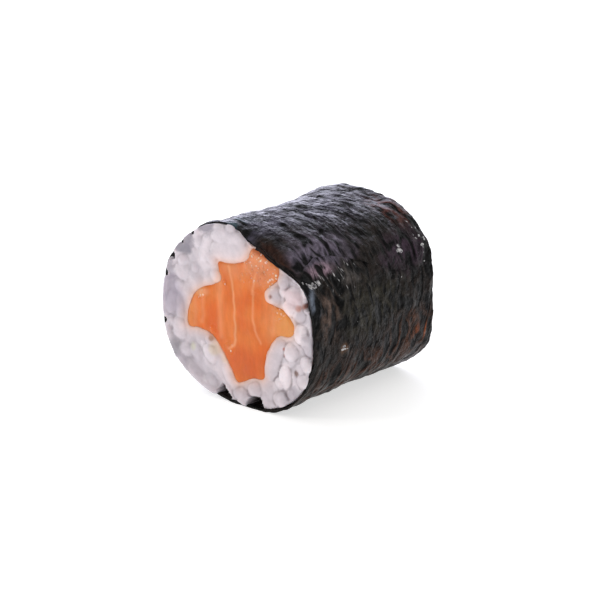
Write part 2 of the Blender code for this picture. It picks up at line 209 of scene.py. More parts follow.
nori = {
    "thickness": 0.3, "layerStep": 0.42,  # how much deeper the sheet lies where its flap covers it
    # angles: where the sheet begins, where the flap ends at the shown cut, how much further it reaches at
    # the far cut and at its corner, and over how many degrees the sheet comes up from under it
    "innerEdge": 18, "flapNear": 46, "flapTurn": 24, "cornerTurn": 12, "cornerReach": 5, "settleTurn": 60,
    "rimWave": 0.1, "ragged": 0.12,  # how far the cut edge waves and frays
    "edgeWander": 1.2,  # degrees that the free edge strays
    "around": 400, "along": 110,
    "edgeReach": 3.0, "edgeThickness": 0.05,  # the free edge thins out over this width and lies close
    # crinkles: cell along the winding, cell along the roll, height, folded into crests or not
    "relief": (
        (6, 3.6, 0.24, False), (3.4, 1.2, 0.24, False), (2, 0.75, 0.08, True), (0.9, 0.5, 0.03, False),
    ),
    "stray": 1.0,  # how far crinkles wander off the winding's direction
    "calm": 0.25,  # crinkles lie flatter down the sides
    # dimples: angle, distance from the shown cut, reach, depth
    "pits": ((7.6, 11, 0.5, 0.3), (262, 17, 0.6, 0.3)),
    "shade": "#15110f",
    # where the seaweed lay thick or thin, and where sheen, reflection and shade are painted on: angle,
    # distance from the shown cut, reach round in degrees, reach along, colour, strength
    "stainsAndPaintedLight": (
        # the patch at 356 is painted teal sheen
        (0, 12, 42, 16, "#201e27", 0.9), (356, 1.5, 9, 3, "#24363b", 0.8),
        # both patches are painted sheen on the top's crinkles
        (42, 6, 16, 8, "#48424d", 0.85), (8, 4, 16, 5, "#2e2c36", 0.7),
        (54, 4.5, 6, 3.2, "#66545d", 0.85), (84, 12, 20, 9, "#1c1a14", 0.9),
        (126, 12, 22, 16, "#27160e", 0.9), (80, 3.6, 20, 2.4, "#3d312b", 0.85),
        (28, 24.6, 20, 3.6, "#3c221f", 0.8), (58, 22, 16, 7, "#271d26", 0.8),
        (110, 22, 18, 7, "#2e1c13", 0.9), (110.4, 24.3, 7.5, 2.2, "#56290f", 1),
        # the patch at 62 is painted glints on the shoulder
        (103.2, 6.2, 4, 1.1, "#3c2b1f", 0.95), (62, 8.5, 7, 3.5, "#3a3634", 0.8),
        (205, 20, 22, 6, "#38200f", 0.7), (250, 8, 24, 9, "#181d13", 0.9),
        (292, 19, 20, 8, "#271d26", 0.8), (268, 24, 8, 3, "#4a2a14", 0.7),
        (215, 5, 18, 6, "#2a1b12", 0.8), (330, 14, 14, 9, "#2c2833", 0.8),
        # the patch at 68 is a painted reflection on the rim's bevel; the one at 36 is painted shade,
        # reddish brown, on the drawn-in rim
        (68, 0.85, 15, 1.1, "#40454e", 1), (36, 0.2, 22, 1, "#1c0e09", 1),
        # the patch at 7.6 is painted shade in the dimple
        (110, 0, 40, 0.5, "#090707", 0.9), (7.6, 11, 2.2, 0.5, "#040304", 1),
    ),
    "torn": 0.35,  # how ragged the stains and painted patches are
    "roughness": 0.34, "sheen": 0.15,
    # fine puckers: mm from one to the next, how deep they look, how much longer they are round the roll
    "pucker": 1.9, "puckerDepth": 0.33, "drawnOut": 2.0,
    "paintedHollowShade": 0.05, "paintedCrestLight": 3.0,  # painted shade in the puckers' hollows and painted light on their crests: how dark and how light they make the stains
    "fibre": 0.5, "fibreDepth": 0.08,  # drawn coarser than real fibres, so that they show
    "mottle": 1.429,  # mm across a patch that is rougher than the next
}


def flapEdge(along):
    ahead = along + halfLength
    corner = nori["cornerTurn"] * np.maximum(1 - ahead / nori["cornerReach"], 0) ** 2
    share = (ahead - nori["cornerReach"]) / (roll["length"] - 2 * nori["cornerReach"])
    return nori["flapNear"] + corner + nori["flapTurn"] * ease(share)


def fillingDepth(angle, along):
    lap = ease(angle / nori["innerEdge"]) * (1 - ease((angle - flapEdge(along)) / nori["settleTurn"]))
    return nori["thickness"] + nori["layerStep"] * lap


def toastedNori():
    # toasted seaweed pressed into a sheet: nearly black, its waxy sheen broken up by crinkles, with painted
    # shade in their hollows and painted light on their crests
    made, add = newMaterial("toastedNori")
    place = add("Attribute", attribute_name="sheetPlace").outputs["Vector"]
    stainAndPaintedLight = add("Attribute", attribute_name="stainAndPaintedLight").outputs["Vector"]
    drawn = add("Mapping", {"Vector": place, "Scale": (1 / nori["drawnOut"], 1.0, 1.0)})
    puckers = add(
        "TexNoise",
        {"Vector": drawn, "Scale": 1 / nori["pucker"], "Detail": 2.0, "Roughness": 0.5,
         "Distortion": 0.7, "Offset": 1.0, "Gain": 1.6},
        noise_type="RIDGED_MULTIFRACTAL")
    fibres = add(
        "TexNoise", {"Vector": place, "Scale": 1 / nori["fibre"], "Detail": 4.0, "Roughness": 0.6})
    mottle = add("TexNoise", {"Vector": place, "Scale": 1 / nori["mottle"], "Detail": 5.0})
    # painted shade and light: the colour darkens in the puckers' hollows and lightens on their crests
    paintedCrestShading = add("MapRange", (puckers, 0.75, 1.45, nori["paintedHollowShade"], nori["paintedCrestLight"]))
    speckle = add("MapRange", (fibres, 0.35, 0.65, 0.75, 1.3))
    uneven = add("MapRange", (mottle, 0.4, 0.62, 0.3, 1.2))
    folds = add("Math", (puckers, uneven), operation="MULTIPLY")
    strength = add("Math", (paintedCrestShading, speckle), operation="MULTIPLY")
    colour = add("VectorMath", {0: stainAndPaintedLight, "Scale": strength}, operation="SCALE")
    rumpled = add("Bump", {"Height": folds, "Strength": 1.0, "Distance": nori["puckerDepth"] * mm})
    normal = add(
        "Bump",
        {"Height": fibres, "Strength": 0.3, "Distance": nori["fibreDepth"] * mm, "Normal": rumpled})
    gloss = add("MapRange", (mottle, 0.3, 0.7, nori["roughness"] - 0.08, nori["roughness"] + 0.14))
    shader = add(
        "BsdfPrincipled",
        {"Base Color": colour, "Roughness": gloss, "Normal": normal, "IOR": 1.4,
         "Specular IOR Level": nori["sheen"]})
    add("OutputMaterial", {"Surface": shader})
    return made


def sheetStainsAndPaintedLight(wound, along, places):
    # the sheet's stains, with painted sheen, reflection and shade in some patches
    stainAndPaintedLight = nori["shade"]
    for number, (angle, ahead, turn, reach, colour, strength) in enumerate(nori["stainsAndPaintedLight"]):
        away = np.hypot(((wound - angle + 180) % 360 - 180) / turn, (along + halfLength - ahead) / reach)
        torn = nori["torn"] * hills(places, (2.4, 1.2, 1), 60 + number)
        stainAndPaintedLight = blend(stainAndPaintedLight, colour, strength * ease(1.2 * (1.1 - away + torn)))
    return stainAndPaintedLight


def crinkle(arc, along, calm):
    places = joined(arc, along, 0)
    stray = joined(hills(places, 3.1, 14), hills(places, 2.3, 15), 0)
    strayed = places + nori["stray"] * stray
    strength = (1 - nori["calm"] * calm) * (1 + 0.5 * hills(places, (7, 5, 1), 16))
    total = 0
    for number, (reachRound, reachAlong, height, folded) in enumerate(nori["relief"]):
        shape = ridges if folded else hills
        noise = shape(strayed if number else places, (reachRound, reachAlong, 1), 20 + number)
        total = total + height * noise * (strength if number else 1)
    for angle, ahead, reach, depth in nori["pits"]:
        away = np.hypot(arc - np.radians(angle + 360) * roll["radius"], along + halfLength - ahead)
        total = total - depth * np.exp(-((away / reach) ** 2))
    return total


def sheetLie(wound, along, edge):
    # how deep the sheet's outer face lies under the roll's outline, its crinkles and its thickness
    sunk = nori["layerStep"] * (1 - ease((wound - edge) / nori["settleTurn"]))
    # under the flap the sheet has the flap's own crinkles
    shown = ease((wound - edge + 2) / 4)
    arc, arcAbove = (np.radians(angle) * roll["radius"] for angle in (wound, wound + 360))
    # the sheet is most crinkled over the top and along the shoulder
    calm = 1 - np.maximum(bell(wound, 10, 45), 0.8 * bell(wound, 60, 12))
    relief = shown * crinkle(arc, along, calm) + (1 - shown) * crinkle(arcAbove, along, calm)
    toEdge = np.radians(360 + edge - wound) * roll["radius"]
    thinned = ease(1 - toEdge / nori["edgeReach"])
    sunk = sunk + thinned * (nori["layerStep"] - nori["edgeThickness"])
    return sunk, relief, nori["thickness"] + thinned * (nori["edgeThickness"] - nori["thickness"])


def makeNori():
    # one sheet wound on itself, from under the flap, once round and over its own beginning
    turns, stops = np.meshgrid(
        np.linspace(0, 1, nori["around"] + 1), np.linspace(-1, 1, nori["along"] + 1), indexing="ij")
    along = halfLength * stops
    edge = flapEdge(along) + nori["edgeWander"] * hills(joined(along, 0, 0), 1.6, 3)
    wound = nori["innerEdge"] + turns * (360 + edge - nori["innerEdge"])
    arc = np.radians(wound) * roll["radius"]
    sunk, relief, thickness = sheetLie(wound, along, edge)
    turn = np.radians(wound)
    wave = nori["rimWave"] * (np.sin(3 * turn + 0.6) + 0.6 * np.sin(7 * turn))
    fray = nori["ragged"] * hills(joined(arc, stops * 9, 0), (0.8, 20, 1), 5)
    places = along + (wave + fray * np.abs(stops) ** 6) * stops * np.abs(stops)
    outer = wallPoint(wound, along, sunk, relief)
    inner = wallPoint(wound, along, sunk + thickness, relief)
    outer[..., 1] = inner[..., 1] = places
    rows, columns = turns.shape
    count = rows * columns
    index = np.arange(count).reshape(rows, columns)
    rim = np.concatenate([index[0, :-1], index[:-1, -1], index[-1, :0:-1], index[:0:-1, 0]])
    after = np.roll(rim, -1)
    walls = np.stack([rim, after, after + count, rim + count], axis=-1).tolist()
    faces = gridFaces(rows, columns) + walls
    faces += [face[::-1] for face in gridFaces(rows, columns, first=count)]
    flat = joined(arc, along, 0)
    stainAndPaintedLight = sheetStainsAndPaintedLight(wound, along, flat).reshape(-1, 3)
    flat = flat.reshape(-1, 3)
    addPiece(
        "noriSheet", np.concatenate([outer.reshape(-1, 3), inner.reshape(-1, 3)]), faces, toastedNori(),
        {"sheetPlace": np.concatenate([flat, flat + (0, 0, 3)]), "stainAndPaintedLight": np.tile(stainAndPaintedLight, (2, 1))},
        replaced="nori", sharp=50)


salmon = {
    "outline": (
        (-3.7, 7.2), (-1.6, 7.4), (0.3, 7.8), (1.6, 8.8), (2.6, 10.3), (4.5, 10.1), (6.7, 9),
        (7, 6.8), (5.5, 5.2), (5.8, 3.2), (8.3, 2.4), (9.8, 0.4), (9, -0.9), (6.9, -1.3),
        (5.3, -3.4), (4.7, -5.6), (4.4, -7.7), (2.4, -8), (-0.2, -9.2), (-1.4, -7.6),
        (-3.2, -5), (-4.9, -3.3), (-7.2, -2.8), (-9.2, -2.8), (-9.4, -1), (-8.3, 1.8),
        (-6.6, 3.2), (-4.3, 4.1), (-3.4, 5.4),
    ),
    "middle": (0.0, 1.0),
    "around": 300, "rings": 56, "sections": 48,
    "twist": 16, "lobes": 8.4,  # degrees that it turns on its way, how far it reaches at the far cut
    "inset": 0.14, "crown": 0.2,  # how far its cuts lie inside, how far their middle bulges
    # fat between the flakes: its course, width and strength
    "fatLines": (
        (
            ((-1.7, 7), (-1, 5), (-0.7, 3), (-0.5, 0), (-0.4, -3), (-0.7, -3.8), (-1.6, -4.5)),
            0.19, 0.9,
        ),
        (((3.4, 7), (2.9, 5), (2.7, 3), (2.7, 1), (3, -1), (3.9, -2.7)), 0.19, 0.7),
        (((-3.3, 5.4), (-3.2, 3), (-3.1, 0), (-3, -3)), 0.5, 0.45),
        (((-6.4, 2.6), (-6.2, 1), (-6.5, -1.6)), 0.35, 0.4),
        (((-7.9, 1.2), (-7.7, -0.2), (-8, -2.2)), 0.3, 0.3),
        (((6.2, 2.4), (6.4, 0.8), (6.1, -0.9)), 0.35, 0.3),
    ),
    "fatHeight": 0.03,
    "wetHeight": 0.12,
    "flesh": "#de772e", "deep": "#d6651a", "fat": "#ea9c68",
    # where the flesh is darker, yellower or paler, with painted shade under the sheet's edge and in a small
    # hole: x, z, reach across, reach up, colour, strength
    "tintsAndShade": (
        (-5.4, -0.6, 2.6, 2.8, "#de6d1a", 0.6), (-4.6, -1.4, 1.2, 2.6, "#d96012", 0.7),
        (-8.4, -0.6, 1.3, 2.6, "#de8a49", 0.5), (8.6, 0.3, 3, 2.6, "#e39a55", 0.8),
        (4.3, 8.3, 3.6, 2.6, "#e39468", 0.9), (1, -6.6, 3.6, 2.8, "#cd5c20", 0.7),
        (5.6, 2, 1.6, 4.5, "#df8447", 0.6), (-1.2, 6.6, 2.2, 1.2, "#e19566", 0.5),
        # the tint at (4.6, 10.2) is painted shadow under the sheet's overhanging edge
        (4.6, 10.2, 2.2, 0.7, "#96482a", 0.8), (5.2, 7.8, 2.2, 1.5, "#d27743", 0.6),
        # the tint at (-4.9, -3.9) is painted shade in a small dark hole
        (-4.9, -3.9, 0.5, 0.35, "#5b3a22", 0.9), (-6.6, 2.6, 1.2, 0.6, "#eba878", 0.7),
    ),
    # where wet beads of fat and juice stand on the cut: x, z, radius
    "drops": (
        (-6.9, 2.3, 0.8), (-4.5, -2.3, 0.5), (-1.6, -4.5, 0.8), (7.2, 2.1, 0.9), (0.9, 5.9, 0.6),
        (-2.3, 4.6, 0.4),
    ),
    "wetSpot": (4.4, 7.9, 3.2, 2.2),  # the largest wet place: x, z, reach across, reach up
    # mm from bead to bead, mm over which their size changes, how far they stand out
    "dropSize": 0.5, "sizesOver": 0.5263, "dropDepth": 0.12,
    # painted highlights: the pale colour of glints on the wet beads
    "beadGlint": "#ffdcc6",
    # mm across a muscle bundle, how it is drawn out, mm across the fine grain in it, how deep that looks
    "muscle": 1.111, "muscleDrawn": (1.5, 0.4, 1.0), "grain": 0.4545, "grainDepth": 0.15,
    "rounding": 0.12, "roundedFrom": 0.93,  # the cut's edge is rounded beyond this share of the way out
    "swells": ((3.2, 0.10), (1.2, 0.04)),  # unevenness of the cut: cell, height
    "roughness": 0.3, "wetRoughness": 0.1,
    "lightReach": 1.6,  # mm that light travels in the flesh
}


def smoothLoop(points, count):
    # evenly spaced points on a closed smooth curve through the given ones
    corners = np.array(points, float)
    before, after, beyond = (np.roll(corners, shift, axis=0) for shift in (1, -1, -2))
    shares = np.linspace(0, 1, 12, endpoint=False)
    fine = []
    for i, corner in enumerate(corners):
        slope = after[i] - before[i]
        bend = 2 * before[i] - 5 * corner + 4 * after[i] - beyond[i]
        twist = 3 * corner - before[i] - 3 * after[i] + beyond[i]
        fine += [corner + (slope * t + bend * t**2 + twist * t**3) / 2 for t in shares]
    fine = np.array(fine + fine[:1])
    travelled = np.concatenate([[0], np.cumsum(np.linalg.norm(np.diff(fine, axis=0), axis=1))])
    stops = np.linspace(0, travelled[-1], count, endpoint=False)
    return np.stack([np.interp(stops, travelled, fine[:, k]) for k in (0, 1)], axis=-1)


salmonSpokes = smoothLoop(salmon["outline"], salmon["around"]) - salmon["middle"]


def salmonSection(along, grow=0.0):
    # the strip's outline at this place, drawn in where it would press through the nori
    progress = ease((along + halfLength) / roll["length"])
    reach = np.linalg.norm(salmonSpokes, axis=1, keepdims=True)
    spokes = salmonSpokes * (1 + progress * (np.minimum(reach, salmon["lobes"]) / reach - 1))
    turn = math.radians(salmon["twist"]) * progress
    spokes = spokes @ np.array([[math.cos(turn), -math.sin(turn)], [math.sin(turn), math.cos(turn)]])
    if grow:
        ahead = np.roll(spokes, -1, axis=0) - np.roll(spokes, 1, axis=0)
        outwards = np.stack([-ahead[:, 1], ahead[:, 0]], axis=-1)
        spokes = spokes + grow * outwards / np.linalg.norm(outwards, axis=1, keepdims=True)
    points = spokes + salmon["middle"]
    angles = angleOf(points[:, 0], points[:, 1])
    wall = wallPoint(angles, along, fillingDepth(angles, along) + 0.1)
    limit = np.hypot(wall[:, 0], wall[:, 2]) / np.linalg.norm(points, axis=1)
    return points * np.minimum(1, limit)[:, None]


def distanceToPath(points, path):
    path = np.array(path, float)
    nearest = np.full(points.shape[:-1], 99.0)
    for start, end in zip(path, path[1:]):
        step = end - start
        share = np.clip(((points - start) @ step) / (step @ step), 0, 1)
        nearest = np.minimum(nearest, np.linalg.norm(points - start - share[..., None] * step, axis=-1))
    return nearest


def rawSalmon():
    # raw salmon, sliced: translucent orange flesh in flakes, pale fat between them, wet on the cut, with
    # painted glints on the wet beads
    made, add = newMaterial("rawSalmon")
    place = add("Attribute", attribute_name="fleshPlace").outputs["Vector"]
    tint = add("Attribute", attribute_name="tint").outputs["Vector"]
    wet = add("Attribute", attribute_name="wet").outputs["Fac"]
    combed = add("Mapping", {"Vector": place, "Scale": salmon["muscleDrawn"]})
    muscle = add(
        "TexNoise", {"Vector": combed, "Scale": 1 / salmon["muscle"], "Detail": 5.0, "Roughness": 0.6})
    shade = add("MapRange", (muscle, 0.35, 0.65, 0.93, 1.06))
    colour = add("VectorMath", {0: tint, "Scale": shade}, operation="SCALE")
    grain = add(
        "TexNoise", {"Vector": place, "Scale": 1 / salmon["grain"], "Detail": 3.0, "Roughness": 0.6})
    flesh = add("Bump", {"Height": grain, "Strength": 0.35, "Distance": salmon["grainDepth"] * mm})
    drops = add("TexVoronoi", {"Vector": place, "Scale": 1 / salmon["dropSize"], "Randomness": 1.0})
    sizes = add("TexNoise", {"Vector": place, "Scale": 1 / salmon["sizesOver"], "Detail": 2.0})
    drawn = add("Math", (drops, sizes), operation="SUBTRACT")
    beadGlint = add("MapRange", (drawn, -0.32, -0.16, 1.0, 0.0))
    beads = add("Math", (beadGlint, wet), operation="MULTIPLY")
    # painted glints: pale spots on some of the beads
    picked = add("MapRange", (muscle, 0.4, 0.6))
    paintedGlints = add("Math", (beads, picked), operation="MULTIPLY")
    glintedColour = add("Mix", {0: paintedGlints, 6: colour, 7: salmon["beadGlint"]}, data_type="RGBA").outputs[2]
    normal = add(
        "Bump", {"Height": beads, "Strength": 0.9, "Distance": salmon["dropDepth"] * mm, "Normal": flesh})
    gloss = add("MapRange", (wet, 0.0, 1.0, salmon["roughness"], salmon["wetRoughness"]))
    shader = add(
        "BsdfPrincipled",
        {"Base Color": glintedColour, "Roughness": gloss, "Normal": normal, "IOR": 1.38,
         "Subsurface Weight": 0.35, "Subsurface Radius": (1.0, 0.35, 0.15),
         "Subsurface Scale": salmon["lightReach"] * mm, "Specular IOR Level": 0.35, "Coat Weight": 0.15,
         "Coat Roughness": 0.1})
    add("OutputMaterial", {"Surface": shader})
    return made


def makeSalmon():
    # a lofted strip whose two cut ends are closed in rings, with the fat lines standing a little proud
    end = halfLength - salmon["inset"]
    middle = np.array(salmon["middle"])
    shrinks = np.linspace(0.03, 1, salmon["rings"])
    stations = [(-1, shrink, -end) for shrink in shrinks]
    stations += [(0, 1.0, along) for along in np.linspace(-end, end, salmon["sections"])[1:-1]]
    stations += [(1, shrink, end) for shrink in shrinks[::-1]]
    points, flat = [], []
    sections = {}
    for side, shrink, along in stations:
        if along not in sections:
            sections[along] = salmonSection(along)
        ring = middle + (sections[along] - middle) * shrink
        flatRing = middle + salmonSpokes * shrink
        rounded = salmon["rounding"] * ease((shrink - salmon["roundedFrom"]) / (1 - salmon["roundedFrom"]))
        swell = side * (salmon["crown"] * (1 - shrink**2) - rounded)
        points.append(joined(ring[:, 0], along + swell, ring[:, 1]))
        flat.append(joined(flatRing[:, 0], flatRing[:, 1], along))
    points, flat = np.concatenate(points), np.concatenate(flat)
    sides = np.repeat([side for side, _, _ in stations], salmon["around"])
    shrink = np.repeat([shrink for _, shrink, _ in stations], salmon["around"])
    fat = 0
    stray = 0.18 * hills(flat, 1.5, 30)
    for path, width, strength in salmon["fatLines"]:
        away = distanceToPath(flat[:, :2] + stray[:, None] * (1, 0), path)
        fat = np.maximum(fat, strength * np.exp(-((away / width) ** 2)))
    x, z = flat[:, 0], flat[:, 1]
    centre, height, across, up = salmon["wetSpot"]
    wet = ease(1.6 - np.hypot((x - centre) / across, (z - height) / up) + 0.5 * hills(flat, 1.4, 36))
    for centre, height, reach in salmon["drops"]:
        wet = np.maximum(wet, ease(1.4 - np.hypot(x - centre, z - height) / reach))
    cloud = ease(0.5 + 0.9 * hills(flat, (2.6, 3.4, 6), 34))
    tint = blend(salmon["flesh"], salmon["deep"], cloud)
    for centre, height, across, up, colour, strength in salmon["tintsAndShade"]:
        away = np.hypot((x - centre) / across, (z - height) / up) + 0.3 * hills(flat, 1.5, 35)
        tint = blend(tint, colour, strength * ease((1.6 - away) / 1.4))
    tint = blend(tint, salmon["fat"], fat)
    inner = ease((1 - shrink) / 0.06) * np.abs(sides)
    lift = salmon["fatHeight"] * fat + salmon["wetHeight"] * wet * np.abs(hills(flat, 0.75, 33))
    for number, (cell, swell) in enumerate(salmon["swells"]):
        lift = lift + swell * hills(flat, cell, 31 + number)
    points[:, 1] += sides * inner * lift
    count = len(points)
    tips = [points[:salmon["around"]].mean(axis=0), points[-salmon["around"]:].mean(axis=0)]
    faces = gridFaces(len(stations), salmon["around"], closed=True)
    for tip, first in ((count, 0), (count + 1, count - salmon["around"])):
        faces += [[first + i, first + (i + 1) % salmon["around"], tip] for i in range(salmon["around"])]
    values = {"tint": tint, "wet": wet, "fleshPlace": flat}
    values = {key: np.concatenate([rows, rows[[0, -1]]]) for key, rows in values.items()}
    addPiece(
        "salmonStrip", np.concatenate([points, tips]), faces, rawSalmon(), values,
        replaced="salmon")


rice = {
    "grainLength": 6.6, "grainWidth": 2.8, "thickness": 0.93,
    "rings": 16, "segments": 20,
    "blunt": 2.5, "round": 2.3, "boxy": 2.6,  # a grain's ends and how square its section is
    "nick": (0.7, 0.16, 0.13),  # where the germ sat: place along the grain, reach, depth
    "taper": 0.18, "bend": 0.05, "uneven": 0.07,  # how a grain narrows, curves and swells
    "flatAt": 0.1,  # mm beyond the cut where the knife starts to flatten a grain
    # what is left of the height beyond that, on the right, on the left and at the rim
    "flatness": 0.48, "leftFlatness": 0.2, "rimFlatness": 0.8,
    "rimProud": 0.25,  # grains on the left bulge out over the edge of the sheet
    "wider": 1.1,  # starch hides the sides of a grain, so it is wider than it shows
    "behind": 0.25, "proud": 0.5,  # how far other grains stand proud, among given ones and on their own
    "overSalmon": 0.25, "overFish": -0.12,  # grains, and the starch between them, lap over the fish's edge
    "slimmest": 1.8, "mostGrains": 90, "fuse": 0.7,  # mm across, how many at a cut, how far grains overlap
    "wallOverlap": 0.6,  # grains at the sheet are pressed flat against it by this much
    "roomStep": 0.2, "tubeStep": 1.2,  # mm between places tried for a grain, and between rings of starch
    "starchInset": 0.16, "starchDip": 0.15,  # starch between grains: how far behind the cut, how uneven
    # where it swells over the sheet's edge: angles, degrees that it takes to rise, how far out and over
    "lipFrom": 188, "lipTo": 352, "lipEase": 12, "lipRise": 0.6, "lipReach": 0.3,
    "skinDepth": 3.0,  # how deep the fused grains reach behind the cut
    "voxel": 0.17, "softening": 1,  # sticky starch rounds off the seams between grains
    # the shown cut: x, z, length shown, width, tilt, how far proud, tone from grey at 0 to white at 1,
    # with clear grains below 0
    "shownGrains": (
        (-1.8, 10.7, 6.8, 2.5, -6, 0.62, 0.58), (-1.5, 9, 7.9, 3, 4, 0.7, 0.62),
        (-6.2, 10.9, 3.8, 2.5, 40, 0.2, -0.1), (-8.9, 9.2, 2.4, 2, 50, 0.2, -0.1),
        (-10.1, 7.9, 2.2, 1.8, 50, 0.15, -0.2), (-7.4, 8.3, 4.8, 2.4, 84, 0.3, 0.55),
        (-10.9, 5.7, 3.2, 2.6, 50, 0.2, 0.1), (-8.8, 4.4, 4.8, 3.6, -15, 0.55, 0.6),
        (-5, 6.6, 3.2, 2.3, 75, 0.35, 0.55), (-5, 4.7, 3.8, 2.2, 22, 0.45, 0.6),
        (-12.2, 1.6, 6.5, 2.7, 86, 0.3, 0.4), (-10.7, -0.4, 5, 1.9, 95, 0.2, 0.4),
        (-12.1, -3.7, 3.4, 2.2, 105, 0.15, 0.5), (-9, -4.4, 6.2, 3, -14, 0.3, 0.5),
        (-11, -6.4, 3.4, 2.2, 120, 0.1, 0.15), (-6.5, -5.4, 5.6, 3, -30, 0.3, 0.55),
        (-8.6, -7.4, 4.6, 2.8, -42, 0.2, 0.45), (-4.3, -7.2, 5.6, 2.7, -52, 0.4, 0.65),
        (-6.4, -9.3, 4.8, 2.6, -30, 0.25, 0.4), (-2.8, -9.9, 3.4, 2.6, -60, 0.4, 0.5),
        (1.3, -9.8, 3.2, 3, 60, 0.45, 0.45), (3.9, -9.4, 3.6, 2.8, 10, 0.4, 0.5),
        (0.3, -11.3, 4.2, 1.8, 0, 0.6, 0.35), (6.5, -4.5, 7.4, 2.6, 67, 0.6, 0.5),
        (8.2, -7.2, 4.4, 1.9, 84, 0.75, 0.95), (9.7, -2.3, 2.8, 2.6, 60, 0.8, 0.75),
        (11.8, -1.9, 3.2, 2.2, 85, 0.6, 0.4), (11, -4.2, 4.2, 2.2, 0, 0.75, 0.7),
        (10.5, -7.4, 4.6, 2.9, 35, 0.7, 0.6), (6.3, -10.5, 4.2, 2.6, 25, 0.65, 0.5),
        (11.1, 0.8, 3.8, 2.3, 86, 0.95, 0.85), (9.5, 2.5, 3.3, 1.9, -48, 0.85, 1),
        (12.1, 2.8, 2.6, 1.6, 80, 0.4, 0.4), (7.2, 4.3, 3.8, 3, 5, 0.8, 0.5),
        (10.5, 5.2, 3.6, 2.7, 20, 0.75, 0.5), (7.8, 7.2, 2.4, 2, 100, 0.6, 0.4),
        (9.5, 7.1, 2, 1.6, 30, 0.4, 0.35), (11.6, 6.3, 2.2, 1.2, 110, 0.6, 1),
        (3.2, 10.7, 2.6, 1.2, -20, 0.3, 0.3),
    ),
    # places at the rim where no grain reached, and the black sheet shows; the rice round them is darkened
    # with painted shade: x, z, radius
    "gaps": (
        (-7.9, 10.9, 0.3), (-9.9, 9.3, 0.3), (-11.6, 6.9, 0.35), (-12.8, 4.2, 0.3), (-13.3, -2.6, 0.25),
        (-9.1, -9.6, 0.2), (-2.8, -11.4, 1.05), (3, -11.8, 1.2), (7.9, -11.5, 0.15), (12.4, 4, 0.6),
    ),
    "gapDepth": 2.7, "gapSlope": 0.24, "gapRagged": 0.4,  # mm deep, mm to get so deep, uneven outline
    # the seam colour is painted shade between grains
    "grey": "#a8a1ab", "white": "#f0e6eb", "blush": "#efb595", "paintedSeamShade": "#8a7c82", "paintedGapShade": "#3a3033",
    "seamLeft": 0.36, "seamRight": 0.86,  # strength of the painted seam shade, weaker on the left where the knife smeared starch over the seams
    "blushStrength": 0.65, "blushReach": 0.6,  # mm that the fish's colour creeps into the rice
    "seamDepth": 0.015,  # mm that a point lies under its neighbours where two grains meet, for the full painted seam shade
    # specks and tints, and painted shade near the left rim, in the crevice at the right gap, under a grain
    # and
    # in a small hole: x, z, radius, colour, strength
    "specksAndShade": (
        (6.1, 4.3, 0.28, "#6e3a34", 0.95), (8.2, -2.6, 0.22, "#a8503c", 0.8),
        (8.3, -3.5, 0.2, "#a8503c", 0.7), (-8.2, -5.5, 0.5, "#cbcab0", 0.6),
        (-4.2, -4.9, 1, "#dccdb4", 0.6), (-2.5, -6.2, 0.6, "#e0d2bc", 0.5),
        # painted shade in the crevice at the right gap, here and at (12.2, 4.1)
        (10.6, 3.5, 0.42, "#a85a34", 0.85), (11.4, 3.8, 0.4, "#8a4a30", 0.85),
        # (10.2, -5.6) is a painted shadow between grains
        (12.2, 4.1, 0.4, "#2c1a14", 0.95), (10.2, -5.6, 0.42, "#6a4536", 0.9),
        # (-12.2, -6.6) is painted shade near the left rim
        (-12.2, -6.6, 1.6, "#8f8e96", 0.7), (9.6, 4.4, 1.6, "#e6cdd0", 0.6),
        # both are painted shade near the left rim
        (-9.9, 8.6, 1.2, "#938f97", 0.5), (-12.2, 1.2, 2.6, "#aaa1b2", 0.6),
        # painted shade in a small dark hole
        (-4.9, -3.7, 0.4, "#6b5138", 0.85),
    ),
    "roughness": 0.3, "coat": 0.3,
    "cloud": 1.25, "skinGrain": 0.769, "skinGrainDepth": 0.12,  # mm across a cloudy place and a fine dimple
    "lightReach": 1.0,  # mm that light travels in a grain
}


def distanceToOutline(outline, points):
    # negative inside the closed outline
    away = distanceToPath(points, np.concatenate([outline, outline[:1]]))
    starts, ends = outline[None], np.roll(outline, -1, axis=0)[None]
    points = points[:, None]
    spans = (ends[..., 1] > points[..., 1]) != (starts[..., 1] > points[..., 1])
    rise = np.where(ends[..., 1] == starts[..., 1], 1, ends[..., 1] - starts[..., 1])
    meets = starts[..., 0] + (points[..., 1] - starts[..., 1]) / rise * (ends[..., 0] - starts[..., 0])
    inside = (spans & (points[..., 0] < meets)).sum(axis=1) % 2 == 1
    return np.where(inside, -away, away)


def grainDiscs(grain):
    # the grain's outline in the cut as discs along its length
    x, z, length, width, tilt = grain[:5]
    axis = np.array([math.cos(math.radians(tilt)), math.sin(math.radians(tilt))])
    steps = np.linspace(-1, 1, 7)
    centres = np.array([x, z]) + np.outer(steps * max(length - width, 0) / 2, axis)
    return centres, width / 2 * (1 - rice["taper"] * steps**2)


